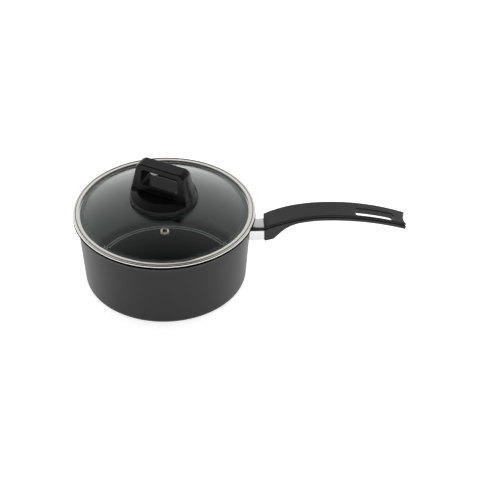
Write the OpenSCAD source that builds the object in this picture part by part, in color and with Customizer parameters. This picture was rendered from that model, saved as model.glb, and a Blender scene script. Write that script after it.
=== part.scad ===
// Saucepan with a domed glass lid, an arched side handle and a bar knob.
// Origin: centre of the pan's underside. +Z up, +X along the handle. Millimetres.

/* [Pan] */
// Height from the underside to the top of the lip
pan_h = 79.2; // [70:0.1:110]
// Radius over the outside of the flared lip
lip_r = 92.3; // [85:0.1:120]
// Inward lean of the wall from the lip down, in degrees
wall_lean = 4.5; // [2:0.5:8]
// Thickness of the pressed wall
wall_t = 2.2; // [1.6:0.1:3.2]
// Thickness of the base
base_t = 3.4; // [2.6:0.1:5]
// Outer radius of the corner between base and wall
base_round = 6; // [4:0.5:12]
// Radius of the steel base plate
plate_r = 64; // [40:1:70]

/* [Lid] */
// Outer radius of the rim band's bead
band_r = 92; // [90:0.1:92.4]
// Height of the glass dome's top above the table
dome_top = 99.5; // [92:0.5:110]
// Thickness of the tempered glass
glass_t = 3.5; // [3:0.1:4]
// Distance of the steam vent from the lid's centre
vent_at = 50; // [40:1:65]
// Direction of the steam vent round the lid, in degrees from the handle
vent_dir = -90; // [-180:1:180]
// How far the lid is turned: direction of the knob's bar, in degrees from the handle
knob_dir = -29.4; // [-90:0.1:90]

/* [Knob] */
// Radius of the knob's round base
knob_r = 35; // [28:0.5:38]
// Height of the knob's bar above the top of the glass
knob_h = 35.8; // [28:0.1:45]
// Thickness of the knob's bar at its top, across it
bar_t = 14.4; // [12.5:0.2:18]

/* [Handle] */
// Where the grip starts, from the pan's centre
grip_x0 = 100.8; // [99:0.1:110]
// Where the grip ends
grip_x1 = 245.4; // [235:0.1:270]
// Height of the top of the grip's arch above the table
grip_top = 77.1; // [72:0.1:84]
// Thickness of the grip in the middle
grip_t = 6.7; // [6:0.1:10]
// Height of the handle fixing above the table
fix_z = 53.4; // [50:0.2:58]

/* [Hidden] */
$fn = 96;

// points of an arc about [cx, cy] from angle a0 to a1, n steps
function arc(cx, cy, r, a0, a1, n = 8) =
    [for (i = [0 : n]) let (a = a0 + (a1 - a0) * i / n) [cx + r * cos(a), cy + r * sin(a)]];

// ---- pan profile -----------------------------------------------------------------
stand_off = 0.3;                 // the pressed base stands this far above the plate's face
plate_t = 1.2;                   // thickness of the steel base plate
flare_r = 8.2;                   // outer radius of the flare's bend
flare_turn = 56;                 // how far the flare turns outwards, in degrees
lip_a = wall_lean + flare_turn;  // angle of the lip from the vertical
flare_x = lip_r - wall_t / 2 + (flare_r + wall_t / 2) * cos(lip_a);
flare_z = pan_h - wall_t / 2 - (flare_r + wall_t / 2) * sin(lip_a);
wall_x = flare_x - flare_r * cos(wall_lean);
wall_z = flare_z + flare_r * sin(wall_lean);
in_round = 5;                    // inside corner radius
// radius of the wall's outside at a height below the flare
function wall_out(z) = wall_x - (wall_z - z) * tan(wall_lean);
function wall_in(z) = wall_out(z) - wall_t / cos(wall_lean);

module pan_profile() {
    out_z = stand_off + base_round;
    in_z = stand_off + base_t + in_round;
    lip_x = flare_x - (flare_r + wall_t / 2) * cos(lip_a);
    lip_z = flare_z + (flare_r + wall_t / 2) * sin(lip_a);
    polygon(concat(
        [[0, plate_t], [plate_r, plate_t], [plate_r, stand_off]],
        arc(wall_out(out_z) - base_round / cos(wall_lean), out_z, base_round, -90, -wall_lean),
        arc(flare_x, flare_z, flare_r, 180 - wall_lean, 180 - lip_a),
        arc(lip_x, lip_z, wall_t / 2, 10 - lip_a, 170 - lip_a),
        arc(flare_x, flare_z, flare_r + wall_t, 180 - lip_a, 180 - wall_lean),
        arc(wall_in(in_z) - in_round / cos(wall_lean), in_z, in_round, -wall_lean, -90),
        [[0, stand_off + base_t]]));
}

module pan_body() {
    color([0.17, 0.17, 0.18]) rotate_extrude() pan_profile();
}

module base_plate() {
    groove_w = 1;
    color([0.62, 0.62, 0.63]) difference() {
        cylinder(r = plate_r, h = plate_t);
        // shallow turned grooves on the underside
        for (r = [16 : 12 : 52]) translate([0, 0, -1]) difference() {
            cylinder(r = r + groove_w, h = 1.25);
            cylinder(r = r, h = 1.25);
        }
    }
}

// ---- handle fixing ---------------------------------------------------------------
guard_w = 21;         // width of the flame guard
guard_h = 16;         // height of the flame guard
guard_t = 0.8;        // its sheet thickness
stud_w = 12;          // width of the welded stud
stud_h = 9;           // height of the welded stud
stud_in = 4.5;        // how far the stud reaches into the grip
bolt_r = 2.5;         // radius of the screws
bolt_gap = 0.1;       // clearance round a screw
seat_x = grip_x0 + 8; // where the screw's washer bears inside the grip
washer_t = 1.2;       // thickness of the lock washer

// box along X with rounded long edges, from x0 to x1, centred on the fixing axis
module rounded_bar(x0, x1, w, h, r) {
    translate([x0, 0, fix_z]) rotate([90, 0, 90]) linear_extrude(x1 - x0) union() {
        square([w - 2 * r, h], center = true);
        square([w, h - 2 * r], center = true);
        for (sy = [-1, 1], sz = [-1, 1])
            translate([sy * (w / 2 - r), sz * (h / 2 - r)]) circle(r);
    }
}

// the space of the pan's wall, grown by gap, for ends that are fitted to it
module wall_space(gap) {
    z0 = fix_z - 15;
    z1 = fix_z + 12;
    translate([0, 0, z0])
        cylinder(r1 = wall_out(z0) + gap, r2 = wall_out(z1) + gap, h = z1 - z0, $fn = 180);
}

// cylinder along +X on the fixing axis
module bolt_line(x0, x1, r) {
    translate([x0, 0, fix_z]) rotate([0, 90, 0]) cylinder(r = r, h = x1 - x0);
}

module handle_stud() {
    foot_x = wall_out(fix_z);
    color([0.72, 0.73, 0.74]) difference() {
        union() {
            rounded_bar(foot_x - 3, grip_x0 + stud_in, stud_w, stud_h, 1.5);
            rounded_bar(foot_x - 3, foot_x + 2.5, stud_w + 5, stud_h + 4, 2.5);
        }
        wall_space(0.02);
        bolt_line(foot_x + 3, grip_x0 + stud_in + 1, bolt_r + bolt_gap / 2);
    }
}

module flame_guard() {
    color([0.8, 0.8, 0.81]) difference() {
        rounded_bar(wall_out(fix_z) - 5, grip_x0 - 0.05, guard_w, guard_h, 4);
        rounded_bar(wall_out(fix_z) - 6, grip_x0 + 1, guard_w - 2 * guard_t, guard_h - 2 * guard_t,
            4 - guard_t);
        wall_space(0.05);
    }
}

// ---- grip ------------------------------------------------------------------------
peak_x = 160.5;                              // where the arch is highest
front_drop = grip_top - 64.4;                // fall of the top from the peak to the front end
front_r = (pow(peak_x - grip_x0, 2) + pow(front_drop, 2)) / (2 * front_drop);
rear_r = 245;                                // radius of the top behind the peak
heel_x = 109.8;                              // rear end of the thick front foot
heel_z = 49.4;                               // its height
toe_z = 46.8;                                // underside at the front end
blend_r = 36;                                // radius from the foot's rear face into the underside
blend_from = 41;                             // slope where that radius starts, in degrees
blend_to = 9.5;                              // slope where it meets the arched underside
under_r = front_r - grip_t;                  // radius of the underside before the peak

// angle at the rear arc's centre of a place x on the grip
function rear_a(x) = 90 - asin((x - peak_x) / rear_r);

module grip_side() {
    blend_x = peak_x + (under_r - blend_r) * cos(90 + blend_to);
    blend_z = grip_top - front_r + (under_r - blend_r) * sin(90 + blend_to);
    polygon(concat(
        [[grip_x0, toe_z], [heel_x, heel_z]],
        arc(blend_x, blend_z, blend_r, 90 + blend_from, 90 + blend_to, 8),
        arc(peak_x, grip_top - front_r, under_r, 89 + blend_to, 90, 4),
        arc(peak_x, grip_top - rear_r, rear_r - grip_t, rear_a(peak_x + 8), rear_a(grip_x1 + 1), 12),
        arc(peak_x, grip_top - rear_r, rear_r, rear_a(grip_x1 + 1), 90, 12),
        arc(peak_x, grip_top - front_r, front_r, 93, 90 + asin((peak_x - grip_x0) / front_r), 10)));
}

// half the grip's width at a place x: full behind the foot, waisted, narrow at the end
function grip_half(x) =
    let (s = (x - grip_x0) / (grip_x1 - grip_x0))
    12 + 0.8 * sin(min(s * 6, 1) * 90) - 0.6 * sin(min(max(s - 0.17, 0) * 4.5, 1) * 90)
        - 1.9 * pow(max(s - 0.55, 0) / 0.45, 1.7);

module grip_plan() {
    steps = 22;
    tail = 2.6;   // depth of the hollow across the grip's end
    side = [for (i = [0 : steps]) let (x = grip_x0 + (grip_x1 - grip_x0) * i / steps) [x, grip_half(x)]];
    end_h = grip_half(grip_x1);
    end_r = (end_h * end_h + tail * tail) / (2 * tail);
    polygon(concat(
        [for (p = side) [p[0], -p[1]]],
        arc(grip_x1 - tail + end_r, 0, end_r, 180 + asin(end_h / end_r), 180 - asin(end_h / end_r), 8),
        [for (i = [steps : -1 : 0]) side[i]]));
}

slot_x0 = 193.2;   // front end of the hanging slot
slot_x1 = 232.8;   // its rear end
slot_y = -3.4;     // how far it lies off the middle
slot_r = 5.6;      // half its width, and the radius of its rear end
slot_turn = 2.8;   // radius of its front corners

module slot_plan() {
    translate([slot_x0 + slot_turn, slot_y - slot_r])
        square([slot_x1 - slot_x0 - slot_turn - slot_r, 2 * slot_r]);
    translate([slot_x0, slot_y - slot_r + slot_turn]) square([2 * slot_turn, 2 * (slot_r - slot_turn)]);
    for (side = [-1, 1])
        translate([slot_x0 + slot_turn, slot_y + side * (slot_r - slot_turn)]) circle(slot_turn);
    translate([slot_x1 - slot_r, slot_y]) circle(slot_r);
}

module handle_grip() {
    color([0.09, 0.09, 0.095]) difference() {
        intersection() {
            translate([0, 20, 0]) rotate([90, 0, 0]) linear_extrude(40) grip_side();
            translate([0, 0, 30]) linear_extrude(60) grip_plan();
        }
        // hanging slot, straight through
        translate([0, 0, 30]) linear_extrude(60) slot_plan();
        // socket for the stud, screw hole and the pocket for its head
        rounded_bar(grip_x0 - 1, grip_x0 + stud_in + 0.3, stud_w + 0.4, stud_h + 0.4, 1.7);
        bolt_line(grip_x0, heel_x + 20, bolt_r + 0.3);
        bolt_line(seat_x, heel_x + 20, 4.6);
    }
}

// screw with a rounded head and a cross recess; its shank runs along -Z from the head's seat
module screw(shank_l, head_r, head_h) {
    difference() {
        union() {
            translate([0, 0, -shank_l]) cylinder(r = bolt_r - bolt_gap / 2, h = shank_l + 0.1);
            rotate_extrude() polygon(concat(
                [[0, 0], [head_r, 0], [head_r, head_h * 0.45]],
                arc(head_r - head_h * 0.55, head_h * 0.45, head_h * 0.55, 0, 90, 6),
                [[0, head_h]]));
        }
        for (a = [0, 90]) rotate(a) translate([-head_r * 0.55, -0.5, head_h - 1.5])
            cube([head_r * 1.1, 1, 2]);
    }
}

module handle_screw() {
    color([0.75, 0.75, 0.76]) translate([seat_x + washer_t + 0.02, 0, fix_z]) rotate([0, 90, 0])
        screw(seat_x + washer_t - wall_out(fix_z) - 4, 4.1, 3);
}

module lock_washer() {
    color([0.6, 0.6, 0.62]) difference() {
        bolt_line(seat_x + 0.01, seat_x + washer_t, 4.2);
        bolt_line(seat_x - 1, seat_x + washer_t + 1, bolt_r + 0.2);
        // the split of the spring washer
        translate([seat_x - 1, -0.4, fix_z]) cube([washer_t + 2, 0.8, 6]);
    }
}

// ---- lid -------------------------------------------------------------------------
brim_top = 80.85;        // top face of the glass's flat brim
brim_r = 87.8;           // edge of the glass
dome_edge = 82;          // where the dome meets the brim
dome_rise = dome_top - brim_top;
dome_r = (dome_edge * dome_edge + dome_rise * dome_rise) / (2 * dome_rise);
dome_z = dome_top - dome_r;   // height of the dome's centre
glass_hole = 4;          // radius of the hole for the knob's screw

module glass_lid() {
    edge_a = asin(dome_edge / dome_r);
    color([0.75, 0.8, 0.78, 0.35]) difference() {
        rotate_extrude($fn = 128) union() {
            difference() {
                intersection() {
                    translate([0, dome_z]) circle(dome_r, $fn = 360);
                    translate([0, brim_top - glass_t]) square([dome_edge + 3, 40]);
                }
                translate([0, dome_z]) circle(dome_r - glass_t, $fn = 360);
            }
            polygon(concat(
                [[dome_edge - 1.6, brim_top - glass_t], [brim_r - 0.8, brim_top - glass_t]],
                arc(brim_r - 0.8, brim_top - glass_t + 0.8, 0.8, -90, 0, 4),
                arc(brim_r - 0.8, brim_top - 0.8, 0.8, 0, 90, 4),
                arc(dome_edge + 3.2, brim_top + 7, 7, -90, -90 - edge_a, 4)));
        }
        translate([0, 0, dome_top - 20]) cylinder(r = glass_hole, h = 40);
        on_glass() translate([0, 0, -20]) cylinder(r = 2.9, h = 40);
    }
}

// places its children where the vent is, with +Z out of the glass and z = 0 on its top face
module on_glass() {
    rotate(vent_dir) translate([0, 0, dome_z]) rotate([0, asin(vent_at / dome_r), 0])
        translate([0, 0, dome_r]) children();
}

module rim_band() {
    gap = 0.05;
    bead = 1.2;                        // radius of the rolled bead
    bead_z = pan_h + 1.25;             // height of its centre
    flange_r = 86;                     // inner edge of the top flange
    groove_z = brim_top - 0.5;         // bottom of the groove between flange and bead
    sheet = 0.5;                       // sheet thickness
    under_z = brim_top - glass_t - gap;
    skirt_r = 85.4;                    // outside of the locating skirt
    skirt_z = 73;                      // its lower edge
    color([0.83, 0.83, 0.82]) rotate_extrude($fn = 180) polygon(concat(
        [[flange_r, brim_top + gap], [flange_r, brim_top + gap + sheet],
         [band_r - 3.1, brim_top + gap + sheet], [band_r - 2.85, groove_z], [band_r - 2.4, groove_z]],
        arc(band_r - bead, bead_z, bead, 152, -90, 14),
        [[brim_r + 0.55, pan_h - 0.3], [brim_r + 0.45, under_z + 0.25], [brim_r - 0.2, under_z - sheet],
         [skirt_r, under_z - sheet], [skirt_r, skirt_z], [skirt_r - sheet, skirt_z],
         [skirt_r - sheet, under_z], [brim_r - 0.45, under_z], [brim_r + gap, under_z + 0.5],
         [brim_r + gap, brim_top + gap]]));
}

module vent_eyelet() {
    color([0.85, 0.84, 0.8]) on_glass() rotate_extrude() polygon(concat(
        [[2, -glass_t - 1.1], [3.3, -glass_t - 1.1], [3.3, -glass_t - 0.65], [2.75, -glass_t - 0.65],
         [2.75, 0.02], [4.2, 0.02]],
        arc(3.4, 0.15, 0.8, 0, 90, 5),
        [[2.5, 0.8], [2, 0.2]]));
}

module vent_washer() {
    color([0.8, 0.8, 0.78]) on_glass() translate([0, 0, -glass_t - 0.62]) difference() {
        cylinder(r = 4.4, h = 0.52);
        translate([0, 0, -1]) cylinder(r = 2.8, h = 3);
    }
}

// ---- knob ------------------------------------------------------------------------
bar_top = dome_top + knob_h;     // top of the bar
shoulder_r = 33.6;                 // where the base's side meets its sloping face
shoulder_z = dome_top + 3.8;     // and its height
dish_r = 26;                     // inner edge of the sloping face
rim_z = dome_top + 7;            // and its height
dish_depth = 4.2;                // depth of the dished face beside the bar
step_half = 11;                  // half-width of the step along the bar
step_z = dome_top + 8;           // its height
bar_end = 26.8;                  // half-length of the bar at its top
bar_draft = 6.2;                 // lean of the bar's faces, in degrees
insert_r = 4;                    // radius of the brass insert
insert_z = dome_top + 1;         // its lower face, on the gasket
insert_h = 9;                    // its height

// turned body that the bar's ends lie on, flush with the base's shoulder
module bar_ends() {
    low = shoulder_z - 3;
    lean = atan((shoulder_r - bar_end) / (bar_top - shoulder_z));
    turn = 5;                    // radius of the top corners
    rotate_extrude() polygon(concat(
        [[0, low], [shoulder_r, low], [shoulder_r, shoulder_z]],
        arc(bar_end - turn * tan(45 - lean / 2), bar_top - turn, turn, lean, 90, 8),
        [[0, bar_top]]));
}

// section across the bar: leaning faces that stand on the step
module bar_section() {
    low = shoulder_z - 3;
    foot = bar_t / 2 + (bar_top - low) * tan(bar_draft);
    polygon([[-foot, low], [foot, low], [bar_t / 2, bar_top], [-bar_t / 2, bar_top]]);
    translate([-step_half, low]) square([2 * step_half, step_z - low]);
}

window_w = 40.6;     // finger opening through the bar
window_h = 15.6;
window_z = dome_top + 14;

module bar_window() {
    turn = 3;
    translate([-window_w / 2, window_z]) union() {
        translate([turn, 0]) square([window_w - 2 * turn, window_h]);
        translate([0, turn]) square([window_w, window_h - 2 * turn]);
        for (x = [turn, window_w - turn], z = [turn, window_h - turn]) translate([x, z]) circle(turn);
    }
}

module knob() {
    color([0.07, 0.07, 0.075]) rotate(knob_dir) difference() {
        union() {
            // round base with its sloping face, dished in the middle
            difference() {
                rotate_extrude() polygon([[0, dome_top - 8], [knob_r, dome_top - 8],
                    [knob_r, dome_top - 2.6], [shoulder_r, shoulder_z], [dish_r, rim_z], [0, rim_z]]);
                dish_ball = (dish_r * dish_r + dish_depth * dish_depth) / (2 * dish_depth);
                translate([0, 0, rim_z - dish_depth + dish_ball]) sphere(dish_ball);
            }
            // bar and the step along both its sides
            intersection() {
                bar_ends();
                translate([-40, 0, 0]) rotate([90, 0, 90]) linear_extrude(80) bar_section();
            }
        }
        translate([0, 30, 0]) rotate([90, 0, 0]) linear_extrude(60) bar_window();
        // underside fitted over the glass, room for the gasket and the brass insert
        translate([0, 0, dome_z]) sphere(dome_r + 0.35, $fn = 360);
        translate([0, 0, dome_top - 1]) cylinder(r = 9.3, h = 2);
        translate([0, 0, dome_top]) cylinder(r = insert_r, h = insert_z - dome_top + insert_h);
    }
}

module knob_insert() {
    color([0.78, 0.62, 0.3]) difference() {
        translate([0, 0, insert_z]) cylinder(r = insert_r, h = insert_h);
        translate([0, 0, insert_z - 1]) cylinder(r = bolt_r + bolt_gap / 2, h = insert_h);
    }
}

module knob_gasket() {
    color([0.2, 0.2, 0.2]) difference() {
        translate([0, 0, dome_top + 0.02]) cylinder(r = 9, h = 0.96);
        translate([0, 0, dome_top - 1]) cylinder(r = bolt_r + 0.3, h = 3);
    }
}

// heights down through the glass, below it
glass_low = dome_top - glass_t;   // underside of the glass at the centre
bush_t = 1.3;                     // thickness of the bush's flange
cup_t = 0.8;                      // thickness of the cup washer
bush_z = glass_low - 0.25 - bush_t;

module screw_bush() {
    color([0.85, 0.85, 0.83]) difference() {
        union() {
            translate([0, 0, bush_z]) cylinder(r = 8, h = bush_t);
            translate([0, 0, bush_z]) cylinder(r = glass_hole - 0.1, h = dome_top - 0.05 - bush_z);
        }
        translate([0, 0, bush_z - 1]) cylinder(r = bolt_r + 0.2, h = 20);
    }
}

module cup_washer() {
    color([0.8, 0.8, 0.8]) difference() {
        translate([0, 0, bush_z - cup_t - 0.02]) cylinder(r = 9, h = cup_t);
        translate([0, 0, bush_z - 3]) cylinder(r = bolt_r + 0.2, h = 6);
    }
}

module knob_screw() {
    seat = bush_z - cup_t - 0.04;
    color([0.75, 0.75, 0.76]) translate([0, 0, seat]) rotate([180, 0, 0])
        screw(insert_z + insert_h - 2 - seat, 4.6, 3);
}

pan_body();
base_plate();
handle_stud();
flame_guard();
handle_grip();
handle_screw();
lock_washer();
glass_lid();
rim_band();
vent_eyelet();
vent_washer();
knob();
knob_insert();
knob_gasket();
screw_bush();
cup_washer();
knob_screw();
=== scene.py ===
"""Saucepan with a domed glass lid, a bar knob and an arched grip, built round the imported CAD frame.

Shapes are worked out in millimetres, in the frame of the CAD model, and become metres in add_piece().
"""

import math

import bmesh
import bpy
import numpy as np
from mathutils import Matrix, Vector


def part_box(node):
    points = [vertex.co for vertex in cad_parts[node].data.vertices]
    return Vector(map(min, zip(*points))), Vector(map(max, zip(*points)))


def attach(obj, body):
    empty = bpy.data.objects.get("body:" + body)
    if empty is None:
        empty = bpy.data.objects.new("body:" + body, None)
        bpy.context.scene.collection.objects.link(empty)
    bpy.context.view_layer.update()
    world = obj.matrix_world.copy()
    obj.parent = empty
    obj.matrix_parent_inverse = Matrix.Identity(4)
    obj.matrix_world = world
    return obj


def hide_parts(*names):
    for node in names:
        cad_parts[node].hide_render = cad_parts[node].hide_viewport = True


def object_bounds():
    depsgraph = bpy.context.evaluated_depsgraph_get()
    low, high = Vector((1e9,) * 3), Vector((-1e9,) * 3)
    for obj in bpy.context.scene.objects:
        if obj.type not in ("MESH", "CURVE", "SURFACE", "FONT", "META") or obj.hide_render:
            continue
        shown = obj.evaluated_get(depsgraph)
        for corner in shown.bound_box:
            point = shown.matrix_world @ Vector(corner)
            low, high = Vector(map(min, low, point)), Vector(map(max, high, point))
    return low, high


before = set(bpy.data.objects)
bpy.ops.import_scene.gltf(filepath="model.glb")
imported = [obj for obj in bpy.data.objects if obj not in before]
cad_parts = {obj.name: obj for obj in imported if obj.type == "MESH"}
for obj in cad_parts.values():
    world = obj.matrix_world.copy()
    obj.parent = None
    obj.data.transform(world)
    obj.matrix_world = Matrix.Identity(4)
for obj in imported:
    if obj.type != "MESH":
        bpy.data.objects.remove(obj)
cad_lo, cad_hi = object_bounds()
MM = 0.001


def box_mm(node):
    """Lowest and highest corner of a CAD node, in millimetres."""
    lo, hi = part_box(node)
    return lo / MM, hi / MM


# ---- shape helpers ---------------------------------------------------------------

def arc(cx, cy, r, a0, a1, n=10):
    """Points of an arc about (cx, cy) from angle a0 to a1, in degrees."""
    turns = [math.radians(a0 + (a1 - a0) * i / n) for i in range(n + 1)]
    return [(cx + r * math.cos(a), cy + r * math.sin(a)) for a in turns]


def even_turn(count):
    """Angles of count even steps round a full turn."""
    return [2 * math.pi * i / count for i in range(count)]


def loft(rings):
    """Points and quads of a closed skin through rings of equal length, the last joined to the first."""
    size = len(rings[0])
    points = [p for ring in rings for p in ring]
    faces = []
    for i in range(len(rings)):
        a = i * size
        b = (i + 1) % len(rings) * size
        for j in range(size):
            k = (j + 1) % size
            faces.append((a + j, a + k, b + k, b + j))
    return points, faces


def lathe(profile, angles):
    """Points and quads of a closed profile of (radius, height) turned about the Z axis."""
    return loft([[(r * math.cos(a), r * math.sin(a), z) for r, z in profile] for a in angles])


def add_piece(name, shape, body, replaced, materials, normals=None, sharp=32.0):
    """Makes a piece from points in millimetres and faces, and ties it to the frame."""
    points, faces = shape
    mesh = bpy.data.meshes.new(name)
    mesh.from_pydata([tuple(c * MM for c in p) for p in points], [], faces)
    for m in materials:
        mesh.materials.append(m)
    if normals is None:
        weld = 0.002 * MM
        bm = bmesh.new()
        bm.from_mesh(mesh)
        bmesh.ops.remove_doubles(bm, verts=bm.verts, dist=weld)
        bmesh.ops.dissolve_degenerate(bm, edges=bm.edges, dist=weld)
        bmesh.ops.recalc_face_normals(bm, faces=bm.faces)
        bm.to_mesh(mesh)
        bm.free()
    mesh.shade_smooth()
    if normals is None:
        mesh.set_sharp_from_angle(angle=math.radians(sharp))
    else:
        mesh.normals_split_custom_set_from_vertices(normals)
    piece = bpy.data.objects.new(name, mesh)
    bpy.context.scene.collection.objects.link(piece)
    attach(piece, body)
    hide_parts(*replaced)
    return piece


# ---- moulded shapes: distance fields and the skin at distance 0 ------------------

def cut(a, b, r=0.3):
    """Where both fields are inside, with the edge between them rounded to radius r."""
    corner = np.hypot(np.maximum(a + r, 0), np.maximum(b + r, 0))
    return np.minimum(np.maximum(a, b), -r) + corner


def join(a, b, r=0.3):
    """Where either field is inside, with a fillet of radius r between them."""
    return -cut(-a, -b, r)


def round_rect(a, b, half_a, half_b, r):
    """Distance to a rectangle with rounded corners in the plane of a and b."""
    qa = np.abs(a) - half_a + r
    qb = np.abs(b) - half_b + r
    return np.hypot(np.maximum(qa, 0), np.maximum(qb, 0)) + np.minimum(np.maximum(qa, qb), 0) - r


def outline_distance(points, x, y):
    """Signed distance in the plane to a closed outline."""
    best = np.full(x.shape, 1e9)
    inside = np.zeros(x.shape, bool)
    for i, (ax, ay) in enumerate(points):
        bx, by = points[i - 1]
        ex, ey = bx - ax, by - ay
        t = np.clip(((x - ax) * ex + (y - ay) * ey) / (ex * ex + ey * ey), 0, 1)
        best = np.minimum(best, np.hypot(x - ax - t * ex, y - ay - t * ey))
        if ey != 0:
            crosses = (ay > y) != (by > y)
            inside ^= crosses & (x < ax + (y - ay) * ex / ey)
    return np.where(inside, -best, best)


def slope_of(field, p, step=0.05):
    """Value and gradient of a field at points p."""
    grad = np.zeros_like(p)
    for axis in range(3):
        d = np.zeros(3)
        d[axis] = step
        grad[:, axis] = (field(*(p + d).T) - field(*(p - d).T)) / (2 * step)
    return field(*p.T), grad


def skin(field, lo, hi, cell):
    """Points, quads and normals of the surface where a distance field is 0, by surface nets."""
    axes = [np.arange(a - 1.5 * cell, b + 2.5 * cell, cell) for a, b in zip(lo, hi)]
    value = field(*np.meshgrid(*axes, indexing="ij"))
    inside = value < 0
    cells = np.array(value.shape) - 1
    corners = [np.array((i, j, k)) for i in (0, 1) for j in (0, 1) for k in (0, 1)]
    count = sum(inside[tuple(slice(o, o + n) for o, n in zip(c, cells))].astype(int) for c in corners)
    where = np.argwhere((count > 0) & (count < 8))
    index = np.full(tuple(cells), -1)
    index[tuple(where.T)] = np.arange(len(where))
    total = np.zeros((len(where), 3))
    crossings = np.zeros(len(where))
    for a in corners:
        for axis in range(3):
            if a[axis]:
                continue
            b = a.copy()
            b[axis] = 1
            va = value[tuple((where + a).T)]
            vb = value[tuple((where + b).T)]
            hit = (va < 0) != (vb < 0)
            t = np.where(hit, va / np.where(hit, va - vb, 1), 0)
            total[hit] += (where + a + t[:, None] * (b - a))[hit]
            crossings += hit
    points = total / crossings[:, None] * cell + [axis[0] for axis in axes]
    faces = []
    for axis in range(3):
        u, v = (axis + 1) % 3, (axis + 2) % 3
        first = [slice(None)] * 3
        second = [slice(None)] * 3
        first[axis], second[axis] = slice(0, -1), slice(1, None)
        enters = inside[tuple(second)] & ~inside[tuple(first)]
        leaves = inside[tuple(first)] & ~inside[tuple(second)]
        for mask, turn in ((leaves, 1), (enters, -1)):
            at = np.argwhere(mask)
            ring = []
            for du, dv in ((-1, -1), (0, -1), (0, 0), (-1, 0))[::turn]:
                near = at.copy()
                near[:, u] += du
                near[:, v] += dv
                ring.append(index[tuple(near.T)])
            faces.extend(np.stack(ring, 1).tolist())
    for _ in range(3):
        d, grad = slope_of(field, points)
        shift = d[:, None] * grad / np.maximum((grad ** 2).sum(1), 0.2)[:, None]
        points = points - np.clip(shift, -cell / 2, cell / 2)
    grad = slope_of(field, points)[1]
    normals = grad / np.maximum(np.linalg.norm(grad, axis=1), 1e-6)[:, None]
    return points, faces, normals


# ---- material helpers ------------------------------------------------------------

class Finish:
    """A material with one Principled shader and short calls for its procedural nodes."""

    def __init__(self, name, color, roughness, metallic=0.0, **sockets):
        self.material = bpy.data.materials.new(name)
        self.material.use_nodes = True
        self.nodes = self.material.node_tree.nodes
        self.links = self.material.node_tree.links
        self.shader = self.nodes["Principled BSDF"]
        self.set("Base Color", (*color, 1.0))
        self.set("Roughness", roughness)
        self.set("Metallic", metallic)
        for socket, value in sockets.items():
            self.set(socket.replace("_", " "), value)

    def set(self, socket, value):
        self.shader.inputs[socket].default_value = value

    def node(self, kind, inputs=(), **settings):
        made = self.nodes.new(kind)
        for key, value in settings.items():
            setattr(made, key, value)
        for socket, value in dict(inputs).items():
            if isinstance(value, bpy.types.NodeSocket):
                self.links.new(value, made.inputs[socket])
            else:
                made.inputs[socket].default_value = value
        return made

    def place(self):
        """The point being shaded, in the frame, in metres."""
        return self.node("ShaderNodeTexCoord").outputs["Object"]

    def scaled(self, vector, scale):
        return self.node("ShaderNodeVectorMath", {0: vector, 1: scale}, operation="MULTIPLY").outputs[0]

    def noise(self, vector, scale, detail=3.0, rough=0.5):
        sockets = {"Vector": vector, "Scale": scale, "Detail": detail, "Roughness": rough}
        return self.node("ShaderNodeTexNoise", sockets).outputs["Fac"]

    def math(self, operation, a, b=0.0):
        return self.node("ShaderNodeMath", {0: a, 1: b}, operation=operation).outputs[0]

    def ramp(self, value, low, high):
        """Takes 0..1 to low..high, clamped."""
        sockets = {"Value": value, "To Min": low, "To Max": high}
        return self.node("ShaderNodeMapRange", sockets, clamp=True).outputs["Result"]

    def stretch(self, value, low, high):
        """Takes low..high to 0..1, clamped."""
        sockets = {"Value": value, "From Min": low, "From Max": high}
        return self.node("ShaderNodeMapRange", sockets, clamp=True).outputs["Result"]

    def blend(self, amount, a, b):
        """A colour between a and b."""
        made = self.node("ShaderNodeMix", data_type="RGBA")
        self.links.new(amount, made.inputs["Factor"])
        for socket, color in ((6, a), (7, b)):
            if isinstance(color, bpy.types.NodeSocket):
                self.links.new(color, made.inputs[socket])
            else:
                made.inputs[socket].default_value = (*color, 1.0)
        return made.outputs[2]

    def drive(self, socket, output):
        self.links.new(output, self.shader.inputs[socket])

    def bump(self, height, strength, depth_mm):
        sockets = {"Height": height, "Strength": strength, "Distance": depth_mm * MM}
        self.drive("Normal", self.node("ShaderNodeBump", sockets).outputs["Normal"])

    def polar(self):
        """Turn in radians, radius and height of the point being shaded, about the Z axis."""
        parts = self.node("ShaderNodeSeparateXYZ", {0: self.place()}).outputs
        turn = self.math("ARCTAN2", parts[1], parts[0])
        radius = self.math("SQRT", self.math("ADD", self.math("MULTIPLY", parts[0], parts[0]),
                                             self.math("MULTIPLY", parts[1], parts[1])))
        return turn, radius, parts[2]

    def round_grain(self, along, across, detail=4.0):
        """Noise drawn out into fine lines round the Z axis, as turning or polishing leaves."""
        turn, radius, height = self.polar()
        sockets = {0: self.math("MULTIPLY", turn, along), 1: self.math("MULTIPLY", radius, across),
                   2: self.math("MULTIPLY", height, across)}
        drawn = self.node("ShaderNodeCombineXYZ", sockets).outputs[0]
        return self.noise(drawn, 1.0, detail)


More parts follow.
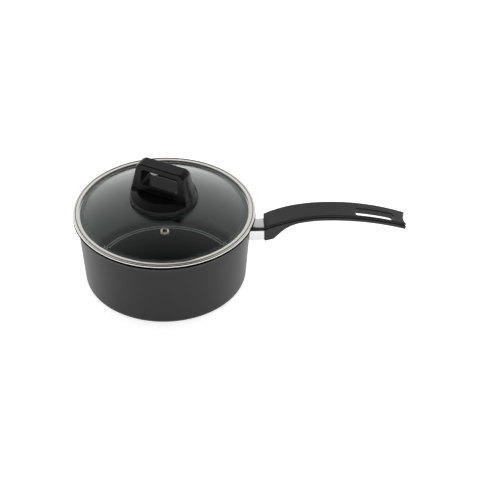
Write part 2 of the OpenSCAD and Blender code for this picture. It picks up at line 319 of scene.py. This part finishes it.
def coating_outside(lip_z):
    """Matt anthracite coating with a fine sprayed grain, and painted shade on the lip above lip_z
    millimetres: near-black with little gloss, for the shadow under the lid's band.
    """
    f = Finish("pan_coating_outside", (0.03, 0.029, 0.031), 0.38)
    place = f.place()
    grain = f.noise(place, 2600.0, 2.0)
    cloud = f.noise(place, 35.0, 3.0)
    wall = f.blend(cloud, (0.018, 0.0172, 0.0185), (0.026, 0.0248, 0.0268))
    # painted shade: the lip under the band turns near-black and loses most of its gloss, for its shadow
    in_lip_shade = f.stretch(f.polar()[2], (lip_z - 0.5) * MM, (lip_z + 0.5) * MM)
    f.drive("Base Color", f.blend(in_lip_shade, wall, (0.0015, 0.0015, 0.0015)))
    f.drive("Specular IOR Level", f.ramp(in_lip_shade, 0.22, 0.03))
    f.drive("Roughness", f.ramp(f.math("ADD", f.math("MULTIPLY", grain, 0.5),
                                       f.math("MULTIPLY", cloud, 0.5)), 0.32, 0.46))
    f.bump(grain, 0.35, 0.05)
    return f.material


def coating_inside():
    """Dark non-stick coating over turned metal: black floor, a wall painted lighter with height as painted
    light, fine rings and light specks.
    """
    f = Finish("pan_coating_inside", (0.03, 0.03, 0.03), 0.3, Specular_IOR_Level=0.35)
    lines = f.round_grain(1.5, 1500.0)
    specks = f.stretch(f.noise(f.place(), 900.0, 1.0), 0.68, 0.75)
    # painted light: by height the wall turns much lighter than the floor, for the lamps falling on it
    wall_painted_light = f.stretch(f.polar()[2], 0.006, 0.014)
    plain = f.blend(wall_painted_light, (0.0015, 0.0016, 0.0016), (0.26, 0.285, 0.275))
    f.drive("Base Color", f.blend(f.math("MULTIPLY", specks, 0.3), plain, (0.12, 0.12, 0.12)))
    f.drive("Roughness", f.ramp(lines, 0.24, 0.4))
    f.bump(lines, 0.3, 0.05)
    return f.material


def ring_painted_highlights():
    """The pressed rings of the floor, coloured light grey and part metallic as a painted highlight where
    they catch the light.
    """
    f = Finish("pan_ring_painted_highlights", (0.5, 0.51, 0.51), 0.25, 0.4)
    lines = f.round_grain(2.0, 2500.0)
    f.drive("Base Color", f.blend(lines, (0.45, 0.47, 0.47), (0.75, 0.77, 0.77)))
    f.bump(lines, 0.2, 0.03)
    return f.material


def polished_steel(name, color, roughness, along=3.0, across=2500.0):
    """Polished stainless steel with faint lines round the axis."""
    f = Finish(name, color, roughness, 1.0)
    lines = f.round_grain(along, across)
    stain = f.noise(f.place(), 60.0, 3.0)
    f.drive("Roughness", f.ramp(f.math("MULTIPLY", f.math("ADD", lines, stain), 0.5),
                                roughness * 0.6, roughness * 1.4))
    f.bump(lines, 0.12, 0.02)
    return f.material


def banded_steel(groove_r, half_w):
    """Polished steel, dull and darker in the groove at the given radius, in millimetres, where painted
    shade darkens its colour.
    """
    f = Finish("band_steel_polished", (0.86, 0.845, 0.80), 0.14, 1.0)
    lines = f.round_grain(3.0, 2500.0)
    off = f.math("ABSOLUTE", f.math("SUBTRACT", f.polar()[1], groove_r * MM))
    away_from_groove_shade = f.stretch(off, half_w * 0.6 * MM, half_w * 1.4 * MM)
    # painted shade: the groove's colour is darkened to stand in for the shade inside it
    f.drive("Base Color", f.blend(away_from_groove_shade, (0.36, 0.34, 0.30), (0.86, 0.845, 0.80)))
    f.drive("Roughness", f.ramp(f.noise(f.place(), 60.0, 3.0), 0.09, 0.19))
    f.bump(lines, 0.12, 0.02)
    return f.material


def drawn_steel(name, color, roughness):
    """Steel polished along its length, which is X."""
    f = Finish(name, color, roughness, 1.0)
    lines = f.noise(f.scaled(f.place(), (60.0, 2600.0, 2600.0)), 1.0, 4.0)
    f.drive("Roughness", f.ramp(lines, roughness * 0.6, roughness * 1.4))
    f.bump(lines, 0.15, 0.02)
    return f.material


def turned_steel():
    """Face-turned steel plate: rings of changing fineness and slight heat tint."""
    f = Finish("base_plate_turned", (0.55, 0.55, 0.56), 0.3, 1.0)
    rings = f.round_grain(0.6, 3500.0, 5.0)
    stain = f.noise(f.place(), 25.0, 4.0)
    f.drive("Base Color", f.blend(stain, (0.50, 0.50, 0.51), (0.63, 0.62, 0.61)))
    f.drive("Roughness", f.ramp(rings, 0.22, 0.42))
    f.bump(rings, 0.5, 0.04)
    return f.material


def moulded_plastic(name, dark, light, low, high, gloss):
    """Moulded heat-proof plastic with a fine grain and slight flow marks; low and high are roughness."""
    f = Finish(name, dark, low, Specular_IOR_Level=gloss)
    place = f.place()
    grain = f.noise(place, 1900.0, 3.0, 0.6)
    flow = f.noise(place, 45.0, 3.0)
    f.drive("Base Color", f.blend(flow, dark, light))
    f.drive("Roughness", f.ramp(f.math("ADD", f.math("MULTIPLY", grain, 0.6),
                                       f.math("MULTIPLY", flow, 0.4)), low, high))
    f.bump(grain, 0.4, 0.05)
    return f.material


def clear_glass():
    """Tempered glass that lets the lamps through, with faint wiping marks in its gloss."""
    f = Finish("lid_glass_clear", (0.90, 0.955, 0.93), 0.0, Transmission_Weight=1.0, IOR=1.5)
    wiped = f.noise(f.scaled(f.place(), (30.0, 8.0, 8.0)), 1.0, 4.0)
    f.drive("Roughness", f.ramp(f.stretch(wiped, 0.45, 0.75), 0.0, 0.035))
    clear = f.node("ShaderNodeBsdfTransparent", {"Color": (0.82, 0.88, 0.85, 1.0)}).outputs[0]
    is_shadow = f.node("ShaderNodeLightPath").outputs["Is Shadow Ray"]
    mixed = f.node("ShaderNodeMixShader", {0: is_shadow, 1: f.shader.outputs[0], 2: clear}).outputs[0]
    f.links.new(mixed, f.nodes["Material Output"].inputs["Surface"])
    return f.material


def silicone():
    f = Finish("gasket_silicone", (0.35, 0.35, 0.34), 0.6)
    place = f.place()
    dust = f.noise(place, 400.0, 3.0)
    f.drive("Base Color", f.blend(dust, (0.28, 0.28, 0.27), (0.42, 0.42, 0.41)))
    f.bump(f.noise(place, 2500.0, 2.0), 0.3, 0.03)
    return f.material


def cast_alloy():
    f = Finish("stud_cast_alloy", (0.6, 0.61, 0.62), 0.5, 1.0)
    place = f.place()
    pits = f.noise(place, 900.0, 4.0, 0.65)
    f.drive("Roughness", f.ramp(pits, 0.4, 0.65))
    f.bump(pits, 0.6, 0.08)
    return f.material


# ---- sizes, from the frame -------------------------------------------------------
pan_hi = box_mm("pan_body")[1]
plate_hi = box_mm("base_plate")[1]
glass_hi = box_mm("glass_lid")[1]
band_lo, band_hi = box_mm("rim_band")
knob_hi = box_mm("knob")[1]
grip_lo, grip_hi = box_mm("handle_grip")
guard_lo, guard_hi = box_mm("flame_guard")
stud_lo, stud_hi = box_mm("handle_stud")

ROUND = even_turn(192)       # steps of the large turned pieces
SMALL_ROUND = even_turn(64)  # steps of the small ones

# ---- pan -------------------------------------------------------------------------
pan_h = pan_hi.z
lip_r = pan_hi.x
wall_lean = 4.5              # inward lean of the wall, in degrees
wall_t = 2.2                 # thickness of the wall
base_t = 3.4                 # thickness of the base
stand_off = 0.3              # the pressed base stands this far above the plate's face
floor_z = stand_off + base_t # the pan's floor
base_round = 6.0
in_round = 5.0
flare_r = 8.2
lip_a = wall_lean + 56.0     # angle of the lip from the vertical
lean = math.radians(wall_lean)
lip_turn = math.radians(lip_a)
flare_x = lip_r - wall_t / 2 + (flare_r + wall_t / 2) * math.cos(lip_turn)
flare_z = pan_h - wall_t / 2 - (flare_r + wall_t / 2) * math.sin(lip_turn)


def wall_out(z):
    """Radius of the wall's outside at a height below the flare."""
    return flare_x - flare_r * math.cos(lean) - (flare_z + flare_r * math.sin(lean) - z) * math.tan(lean)


def wall_in(z):
    return wall_out(z) - wall_t / math.cos(lean)


def pressed_ring(r, width=1.7, height=0.7):
    """A low rounded ring on the floor of the pan, from outside to inside."""
    return [(r + width / 2 * (1 - i / 4), floor_z + height * math.sin(math.pi * i / 8)) for i in range(9)]


def pan_profile():
    out_z = stand_off + base_round
    in_z = floor_z + in_round
    lip_x = flare_x - (flare_r + wall_t / 2) * math.cos(lip_turn)
    lip_z = flare_z + (flare_r + wall_t / 2) * math.sin(lip_turn)
    plate_r = plate_hi.x + 0.1
    outside = arc(wall_out(out_z) - base_round / math.cos(lean), out_z, base_round, -90, -wall_lean, 14)
    outside += arc(flare_x, flare_z, flare_r, 180 - wall_lean, 180 - lip_a, 16)
    lip = arc(lip_x, lip_z, wall_t / 2, 10 - lip_a, 170 - lip_a, 12)
    inside = arc(flare_x, flare_z, flare_r + wall_t, 180 - lip_a, 180 - wall_lean, 16)
    corner = arc(wall_in(in_z) - in_round / math.cos(lean), in_z, in_round, -wall_lean, -90, 16)
    rings = pressed_ring(corner[-1][0] - 1.0) + pressed_ring(corner[-1][0] - 4.2)
    underside = [(0.0, floor_z), (0.0, plate_hi.z + 0.02), (plate_r, plate_hi.z + 0.02)]
    underside.append((plate_r, stand_off))
    return outside + lip + inside + corner + rings + underside


lip_shade_from = pan_h - 2.6     # height where the painted shade on the lip, under the band, starts
pan_materials = [coating_outside(lip_shade_from), coating_inside(), ring_painted_highlights()]
pan = add_piece("pan_shell", lathe(pan_profile(), ROUND), "pan", ["pan_body"], pan_materials)
for face in pan.data.polygons:
    spot = face.center / MM
    radius = math.hypot(spot.x, spot.y)
    on_flare = math.hypot(radius - flare_x, spot.z - flare_z)
    # the pressed rings take the finish with the painted highlight
    if floor_z + 0.02 < spot.z < floor_z + 1 and radius < wall_in(floor_z + in_round) - in_round - 0.5:
        face.material_index = 2
    elif floor_z - 0.1 < spot.z < flare_z and radius < wall_out(spot.z) - wall_t / 2:
        face.material_index = 1
    elif flare_z <= spot.z < lip_shade_from and on_flare > flare_r + wall_t / 2:
        face.material_index = 1


def plate_profile():
    """Steel plate with an eased edge and four shallow turned grooves in its underside."""
    edge = 0.35
    r = plate_hi.x
    top = plate_hi.z
    profile = [(0.0, top), (r, top)] + arc(r - edge, edge, edge, 0, -90, 5)
    for groove in range(52, 15, -12):
        profile += arc(groove + 0.5, 0.0, 0.5, 0, 180, 8)
    return profile + [(0.0, 0.0)]


add_piece("base_disc", lathe(plate_profile(), ROUND), "pan", ["base_plate"], [turned_steel()])

# ---- lid glass -------------------------------------------------------------------
glass_t = 3.5
dome_top = glass_hi.z
brim_r = glass_hi.x
brim_top = band_hi.z - 0.55  # the band's top sheet and its gap lie on the brim
dome_edge = 82.0
dome_rise = dome_top - brim_top
dome_r = (dome_edge ** 2 + dome_rise ** 2) / (2 * dome_rise)
dome_z = dome_top - dome_r
screw_hole = 4.0
vent_at = 50.0
vent_turn = math.radians(-90.0)


def dome_arc(r, start, end, n):
    """Arc of the dome of radius r between two distances from the axis."""
    a0 = 90 - math.degrees(math.asin(start / r))
    a1 = 90 - math.degrees(math.asin(end / r))
    return arc(0.0, dome_z, r, a0, a1, n)


def glass_profile():
    under_r = dome_r - glass_t
    edge_a = math.degrees(math.asin(dome_edge / dome_r))
    ease = 7.0               # radius between the dome and the brim
    edge = 0.8               # rounding of the ground edge
    low = brim_top - glass_t
    under_edge = math.sqrt(under_r ** 2 - (low - dome_z) ** 2)
    profile = dome_arc(dome_r, screw_hole, dome_edge - 1.0, 40)
    profile += arc(dome_edge + 2.2, brim_top + ease, ease, -90 - edge_a + 2, -90, 6)
    profile += arc(brim_r - edge, brim_top - edge, edge, 90, 0, 5)
    profile += arc(brim_r - edge, low + edge, edge, 0, -90, 5)
    profile += [(under_edge + 0.6, low)]
    profile += dome_arc(under_r, under_edge - 0.4, screw_hole, 40)
    return profile


def vent_place():
    """Matrix that puts a piece with its foot at the origin where the vent is, +Z out of the glass."""
    tilt = Matrix.Rotation(math.asin(vent_at / dome_r), 4, "Y")
    return (Matrix.Rotation(vent_turn, 4, "Z") @ Matrix.Translation((0, 0, dome_z)) @ tilt
            @ Matrix.Translation((0, 0, dome_r)))


def moved(shape, matrix):
    points, faces = shape
    return [tuple(matrix @ Vector(p)) for p in points], faces


def bore(piece, shape):
    """Cuts a hole of the given shape through a piece."""
    tool_mesh = bpy.data.meshes.new("tool")
    tool_mesh.from_pydata([tuple(c * MM for c in p) for p in shape[0]], [], shape[1])
    bm = bmesh.new()
    bm.from_mesh(tool_mesh)
    bmesh.ops.remove_doubles(bm, verts=bm.verts, dist=0.002 * MM)
    bmesh.ops.recalc_face_normals(bm, faces=bm.faces)
    bm.to_mesh(tool_mesh)
    bm.free()
    tool = bpy.data.objects.new("tool", tool_mesh)
    bpy.context.scene.collection.objects.link(tool)
    modifier = piece.modifiers.new("bore", "BOOLEAN")
    modifier.operation = "DIFFERENCE"
    modifier.solver = "EXACT"
    modifier.object = tool
    graph = bpy.context.evaluated_depsgraph_get()
    piece.data = bpy.data.meshes.new_from_object(piece.evaluated_get(graph))
    piece.modifiers.clear()
    bpy.data.objects.remove(tool)


def smooth_dome(mesh):
    """Gives the faces of both dome surfaces the normals of their spheres."""
    centre = Vector((0, 0, dome_z * MM))
    normals = [Vector(n.vector) for n in mesh.corner_normals]
    for face in mesh.polygons:
        out = (face.center - centre).normalized()
        flat = face.normal.dot(out)
        if abs(flat) < 0.995 or math.hypot(face.center.x, face.center.y) > (dome_edge - 1.0) * MM:
            continue
        for loop in face.loop_indices:
            corner = mesh.vertices[mesh.loops[loop].vertex_index].co
            normals[loop] = (corner - centre).normalized() * math.copysign(1, flat)
    mesh.normals_split_custom_set(normals)


glass = add_piece("lid_dome", lathe(glass_profile(), ROUND), "lid", ["glass_lid"],
                  [clear_glass()])
vent_drill = [(0.0, -12.0), (2.9, -12.0), (2.9, 8.0), (0.0, 8.0)]
bore(glass, moved(lathe(vent_drill, SMALL_ROUND), vent_place()))
smooth_dome(glass.data)

# ---- rim band --------------------------------------------------------------------
bead_r = 1.2
bead_z = pan_h + 1.25
sheet = 0.5
seam_turn = 79.0             # where the band's ends meet, in degrees round the lid


def band_profile():
    gap = 0.05
    top = band_hi.z
    flange_in = 86.0
    step_r = band_hi.x - 3.1
    groove_z = brim_top - 0.5
    under = brim_top - glass_t - gap
    skirt_r = 85.4
    bead_x = band_hi.x - bead_r
    profile = [(flange_in, brim_top + gap)]
    profile += arc(flange_in + 0.25, top - 0.25, 0.25, 180, 90, 4)
    profile += arc(step_r - 0.3, top - 0.3, 0.3, 90, 10, 4)
    profile += [(step_r + 0.25, groove_z), (band_hi.x - 2.4, groove_z)]
    profile += arc(bead_x, bead_z, bead_r, 152, -90, 22)
    profile += [(brim_r + 0.55, pan_h - 0.3), (brim_r + 0.45, under + 0.25), (brim_r - 0.2, under - sheet)]
    profile += [(skirt_r, under - sheet), (skirt_r, band_lo.z), (skirt_r - sheet, band_lo.z)]
    profile += [(skirt_r - sheet, under), (brim_r - 0.45, under), (brim_r + gap, under + 0.5)]
    profile += [(brim_r + gap, brim_top + gap)]
    return profile


def press_seam(mesh, turn, depth):
    """Presses in the vertices that lie at one turn round the axis."""
    shifts = [(v, v.normal.copy()) for v in mesh.vertices
              if abs(math.degrees(math.atan2(v.co.y, v.co.x)) - turn) < 0.1]
    for v, normal in shifts:
        v.co -= normal * depth * MM


seam_steps = [math.radians(seam_turn + s) for s in (-0.24, -0.07, 0.07, 0.24)]
band_steps = sorted([a for a in ROUND if abs(math.degrees(a) - seam_turn) > 1] + seam_steps)
band_steel = banded_steel(band_hi.x - 2.6, 0.4)
band = add_piece("lid_band", lathe(band_profile(), band_steps), "lid", ["rim_band"],
                 [band_steel])
press_seam(band.data, seam_turn, 0.22)

# ---- vent ------------------------------------------------------------------------


def eyelet_profile():
    """Rolled eyelet: domed flange, funnel mouth, barrel and the roll that holds the washer."""
    profile = arc(3.35, 0.05, 0.85, 0, 90, 8)
    profile += arc(3.0, -0.1, 1.0, 95, 180, 8)
    profile += [(2.0, -glass_t - 1.0)]
    profile += arc(2.65, -glass_t - 0.95, 0.35, 270, 360, 6)
    profile += [(3.0, -glass_t - 0.65), (2.75, -glass_t - 0.6), (2.75, 0.02)]
    return profile + [(4.2, 0.02)]


eyelet_steel = polished_steel("eyelet_steel_polished", (0.93, 0.86, 0.74), 0.18)
add_piece("vent_ring", moved(lathe(eyelet_profile(), SMALL_ROUND), vent_place()), "lid",
          ["vent_eyelet"], [eyelet_steel])

# ---- knob ------------------------------------------------------------------------
knob_turn = math.radians(-29.4)   # direction of the bar
knob_r = 35.0                     # radius of the round base
bar_h = knob_hi.z - dome_top      # height of the bar above the glass
bar_half_t = 7.2                  # half the bar's thickness at its top
bar_draft = math.radians(6.2)     # lean of the bar's faces
bar_end = 26.8                    # half the bar's length at its top
bar_turn = 5.0                    # radius of its top corners
shoulder_r = 33.6                 # where the base's side meets its sloping face
shoulder_h = 3.8
skirt_h = -2.6
dish_r = 26.0                     # inner edge of the sloping face
rim_h = 7.0
dish_depth = 4.2
step_half = 11.0                  # half-width of the step along the bar
step_h = 8.0
window_half = 20.3
window_low = 14.0
window_high = 29.6
window_turn = 3.0


def plane(r, z, r0, z0, r1, z1):
    """Distance outside the line through two points of a turned outline, given from below to above."""
    length = math.hypot(r1 - r0, z1 - z0)
    return ((r - r0) * (z1 - z0) - (z - z0) * (r1 - r0)) / length


def knob_field(x, y, z):
    u = x * math.cos(knob_turn) + y * math.sin(knob_turn)
    w = y * math.cos(knob_turn) - x * math.sin(knob_turn)
    h = z - dome_top
    rho = np.hypot(u, w)
    side = plane(rho, h, knob_r, skirt_h, shoulder_r, shoulder_h)
    base = cut(cut(rho - knob_r, side, 1.0), plane(rho, h, shoulder_r, shoulder_h, dish_r, rim_h), 0.5)
    ball = (dish_r ** 2 + dish_depth ** 2) / (2 * dish_depth)
    dish = ball - np.sqrt(rho ** 2 + (h - rim_h + dish_depth - ball) ** 2)
    base = cut(base, dish, 0.4)
    ends = cut(plane(rho, h, shoulder_r, shoulder_h, bar_end, bar_h), h - bar_h, bar_turn)
    ends = cut(ends, shoulder_h - 3 - h, 0.1)
    faces = (np.abs(w) - bar_half_t) * math.cos(bar_draft) - (bar_h - h) * math.sin(bar_draft)
    bar = cut(ends, faces, 1.0)
    step = cut(ends, cut(np.abs(w) - step_half, h - step_h, 0.5), 0.4)
    body = join(join(base, step, 0.3), bar, 0.6)
    window_mid = (window_low + window_high) / 2
    window = round_rect(u, h - window_mid, window_half, (window_high - window_low) / 2, window_turn)
    body = cut(body, -window, 0.7)
    over_glass = dome_r + 0.35 - np.sqrt(rho ** 2 + (z - dome_z) ** 2)
    body = cut(body, over_glass, 0.25)
    body = cut(body, -cut(rho - 9.3, h - 1.0, 0.1), 0.1)
    return cut(body, -cut(rho - 4.02, h - 10.0, 0.1), 0.1)


knob_box = box_mm("knob")
knob_points, knob_faces, knob_normals = skin(knob_field, *knob_box, 0.6)
knob_plastic = moulded_plastic("knob_plastic_satin", (0.005, 0.005, 0.0052), (0.006, 0.006, 0.0062),
                               0.16, 0.3, 0.2)
add_piece("knob_moulding", (knob_points, knob_faces), "lid", ["knob"], [knob_plastic],
          knob_normals)

# ---- grip ------------------------------------------------------------------------
grip_x0 = grip_lo.x
grip_x1 = grip_hi.x
grip_top = grip_hi.z
fix_z = (stud_lo.z + stud_hi.z) / 2
peak_x = 160.5
front_drop = 12.7            # fall of the top from the peak to the front end
front_r = ((peak_x - grip_x0) ** 2 + front_drop ** 2) / (2 * front_drop)
rear_r = 245.0
grip_t = 6.7
heel = (109.8, 49.4)
toe_z = grip_lo.z
blend_r = 36.0               # from the foot's rear face into the underside
blend_from = 41.0
blend_to = 9.5
tail_hollow = 2.6
groove_at = 2.1              # the groove along the side runs this far below the top
groove_r = 0.95
slot_x0 = 193.2
slot_x1 = 232.8
slot_y = -3.4
slot_r = 5.6                 # half its width, and the radius of its rear end
slot_turn = 2.8              # radius of its front corners


def grip_side():
    """Outline of the grip seen from the side."""
    def rear(x):
        return 90 - math.degrees(math.asin((x - peak_x) / rear_r))

    under_r = front_r - grip_t
    low = grip_top - front_r
    turn = math.radians(90 + blend_to)
    blend = (peak_x + (under_r - blend_r) * math.cos(turn), low + (under_r - blend_r) * math.sin(turn))
    front_a = 90 + math.degrees(math.asin((peak_x - grip_x0) / front_r))
    end = grip_x1 + 1
    outline = [(grip_x0, toe_z), heel]
    outline += arc(*blend, blend_r, 90 + blend_from, 90 + blend_to, 12)
    outline += arc(peak_x, low, under_r, 89 + blend_to, 90, 6)
    outline += arc(peak_x, grip_top - rear_r, rear_r - grip_t, rear(peak_x + 8), rear(end), 18)
    outline += arc(peak_x, grip_top - rear_r, rear_r, rear(end), 90, 24)
    outline += arc(peak_x, low, front_r, 92, front_a, 24)
    return outline


def grip_half(x):
    """Half the grip's width at a place along it."""
    s = (x - grip_x0) / (grip_x1 - grip_x0)
    return (12 + 0.8 * np.sin(np.clip(s * 6, 0, 1) * math.pi / 2)
            - 0.6 * np.sin(np.clip((s - 0.17) * 4.5, 0, 1) * math.pi / 2)
            - 1.9 * (np.maximum(s - 0.55, 0) / 0.45) ** 1.7)


def top_distance(x, z):
    """Distance above the grip's top surface."""
    front = np.hypot(x - peak_x, z - grip_top + front_r) - front_r
    rear = np.hypot(x - peak_x, z - grip_top + rear_r) - rear_r
    return np.where(x < peak_x, front, rear)


def slot_distance(x, y):
    """Distance outside the hanging slot: round behind, with turned corners in front."""
    off = y - slot_y
    rear = np.hypot(np.maximum(x - slot_x1 + slot_r, 0), off) - slot_r
    front = round_rect(x - slot_x0 - 10, off, 10, slot_r, slot_turn)
    return np.where(x < slot_x0 + 8, front, rear)


GRIP_OUTLINE = grip_side()


def grip_field(x, y, z):
    end_half = float(grip_half(grip_x1))
    end_r = (end_half ** 2 + tail_hollow ** 2) / (2 * tail_hollow)
    tail = end_r - np.hypot(x - grip_x1 + tail_hollow - end_r, y)
    plan = cut(cut(np.abs(y) - grip_half(x), x - grip_x1, 0.8), tail, 0.5)
    if x.ndim == 3:
        side = outline_distance(GRIP_OUTLINE, x[:, 0, :], z[:, 0, :])[:, None, :]
        side = np.broadcast_to(side, x.shape)
    else:
        side = outline_distance(GRIP_OUTLINE, x, z)
    body = cut(side, plan, 0.8)
    groove = np.hypot(top_distance(x, z) + groove_at, plan) - groove_r
    body = cut(body, -groove, 0.25)
    body = cut(body, -slot_distance(x, y), 0.7)
    socket = cut(round_rect(y, z - fix_z, 6.2, 4.7, 1.7), x - grip_x0 - 4.8, 0.2)
    body = cut(body, -socket, 0.2)
    off_axis = np.hypot(y, z - fix_z)
    screw_way = cut(off_axis - 2.8, x - grip_x0 - 40, 0.1)
    pocket = cut(off_axis - 4.6, grip_x0 + 8 - x, 0.1)
    return cut(cut(body, -screw_way, 0.2), -pocket, 0.3)


grip_points, grip_faces, grip_normals = skin(grip_field, grip_lo, grip_hi, 0.5)
grip_plastic = moulded_plastic("grip_plastic_satin", (0.012, 0.012, 0.0122), (0.015, 0.0146, 0.0146),
                               0.26, 0.4, 0.36)
add_piece("grip_moulding", (grip_points, grip_faces), "pan", ["handle_grip"],
          [grip_plastic], grip_normals)

# ---- flame guard -----------------------------------------------------------------
guard_w = guard_hi.y - guard_lo.y
guard_h = guard_hi.z - guard_lo.z
guard_t = 0.8
guard_turn = 4.0


def guard_section(inset):
    """Points of the sleeve's rounded section, as (y, z)."""
    turn = guard_turn - inset
    half_w = guard_w / 2 - inset - turn
    half_h = guard_h / 2 - inset - turn
    section = []
    for sy, sz, start in ((1, 1, 0), (-1, 1, 90), (-1, -1, 180), (1, -1, 270)):
        section += arc(sy * half_w, fix_z + sz * half_h, turn, start, start + 90, 8)
    return section


def at_wall(section, gap):
    """The section laid on the pan's wall."""
    return [(math.sqrt((wall_out(z) + gap) ** 2 - y * y), y, z) for y, z in section]


def guard_shape():
    end = guard_hi.x
    edge = 0.3
    outer = guard_section(0)
    rings = [at_wall(outer, 0.05), at_wall(outer, 0.6), at_wall(outer, 4.0)]
    rings.append([(end - edge, y, z) for y, z in outer])
    rings.append([(end, y, z) for y, z in guard_section(edge)])
    inner = guard_section(guard_t)
    rings.append([(end, y, z) for y, z in inner])
    rings.append(at_wall(inner, 0.05))
    return loft(rings)


add_piece("guard_sleeve", guard_shape(), "pan", ["flame_guard"],
          [drawn_steel("guard_steel_polished", (0.66, 0.66, 0.66), 0.2)])

# ---- CAD pieces that keep their shape --------------------------------------------
screw_steel = drawn_steel("screw_steel_plated", (0.72, 0.72, 0.73), 0.25)
washer_steel = polished_steel("washer_steel_plated", (0.74, 0.74, 0.74), 0.22)
brass = polished_steel("insert_brass_turned", (0.78, 0.60, 0.28), 0.28)
soft = silicone()
kept = {
    "handle_stud": cast_alloy(),
    "handle_screw": screw_steel,
    "lock_washer": screw_steel,
    "vent_washer": washer_steel,
    "knob_insert": brass,
    "knob_gasket": soft,
    "screw_bush": soft,
    "cup_washer": washer_steel,
    "knob_screw": washer_steel,
}
for node, finish in kept.items():
    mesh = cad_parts[node].data
    mesh.materials.clear()
    mesh.materials.append(finish)

# ---- camera ----------------------------------------------------------------------
middle = (cad_lo + cad_hi) / 2
aim = Vector((middle.x - 0.0003, middle.y - 0.0037, cad_hi.z * 0.317))
camera_pitch = math.radians(37.82)
camera_turn = math.radians(-2.8)
camera_distance = 1.8606
camera = bpy.data.objects.new("camera", bpy.data.cameras.new("camera"))
bpy.context.scene.collection.objects.link(camera)
camera.data.sensor_width = 36.0
camera.data.lens = 136.7
camera.rotation_euler = (math.pi / 2 - camera_pitch, 0.0, camera_turn)
back = Matrix.Rotation(camera_turn, 3, "Z") @ Vector((0, -math.cos(camera_pitch), math.sin(camera_pitch)))
camera.location = aim + back * camera_distance
bpy.context.scene.camera = camera

# ---- floor and light -------------------------------------------------------------
bpy.context.scene.view_settings.view_transform = "Standard"


def pale_floor():
    f = Finish("floor_pale", (0.9, 0.9, 0.9), 0.9, Emission_Color=(1.0, 1.0, 1.0, 1.0),
               Emission_Strength=0.8)
    f.drive("Base Color", f.blend(f.noise(f.place(), 3.0), (0.88, 0.88, 0.88), (0.91, 0.91, 0.91)))
    return f.material


floor_r = 6.0
floor_mesh = bpy.data.meshes.new("floor")
floor_mesh.from_pydata([(floor_r * math.cos(a), floor_r * math.sin(a), -0.0002) for a in ROUND], [],
                       [list(range(len(ROUND)))])
floor_mesh.materials.append(pale_floor())
floor = bpy.data.objects.new("floor", floor_mesh)
bpy.context.scene.collection.objects.link(floor)


def softbox(name, place, size, power):
    """Square lamp that faces the pan and is seen in no surface."""
    lamp = bpy.data.lights.new(name, "AREA")
    lamp.size = size
    lamp.energy = power
    made = bpy.data.objects.new(name, lamp)
    bpy.context.scene.collection.objects.link(made)
    made.location = place
    made.rotation_mode = "QUATERNION"
    made.rotation_quaternion = (Vector((0, 0, 0.05)) - Vector(place)).to_track_quat("-Z", "Y")
    made.visible_glossy = False
    made.visible_transmission = False


softbox("overhead", (0.1, 0.3, 1.7), 1.6, 16.0)
softbox("front_fill", (0.0, -1.6, 0.9), 1.2, 3.0)


def studio_world():
    """A bright sweep behind the pan that darkens overhead and in front; plain white to the camera."""
    world = bpy.data.worlds.new("studio")
    bpy.context.scene.world = world
    world.use_nodes = True
    nodes = world.node_tree.nodes
    links = world.node_tree.links
    nodes.clear()
    direction = nodes.new("ShaderNodeTexCoord").outputs["Generated"]
    dot = nodes.new("ShaderNodeVectorMath")
    dot.operation = "DOT_PRODUCT"
    dot.inputs[1].default_value = (0.0, 0.5, -0.45)
    links.new(direction, dot.inputs[0])
    level = nodes.new("ShaderNodeMapRange")
    level.inputs["From Min"].default_value = -0.45
    level.inputs["From Max"].default_value = 0.5
    level.inputs["To Min"].default_value = 0.04
    level.inputs["To Max"].default_value = 1.5
    links.new(dot.outputs["Value"], level.inputs["Value"])
    seen = nodes.new("ShaderNodeLightPath").outputs["Is Camera Ray"]
    studio = nodes.new("ShaderNodeBackground")
    links.new(level.outputs["Result"], studio.inputs["Strength"])
    plain = nodes.new("ShaderNodeBackground")
    plain.inputs["Color"].default_value = (1.0, 1.0, 1.0, 1.0)
    mix = nodes.new("ShaderNodeMixShader")
    links.new(seen, mix.inputs[0])
    links.new(studio.outputs[0], mix.inputs[1])
    links.new(plain.outputs[0], mix.inputs[2])
    output = nodes.new("ShaderNodeOutputWorld")
    links.new(mix.outputs[0], output.inputs["Surface"])


studio_world()
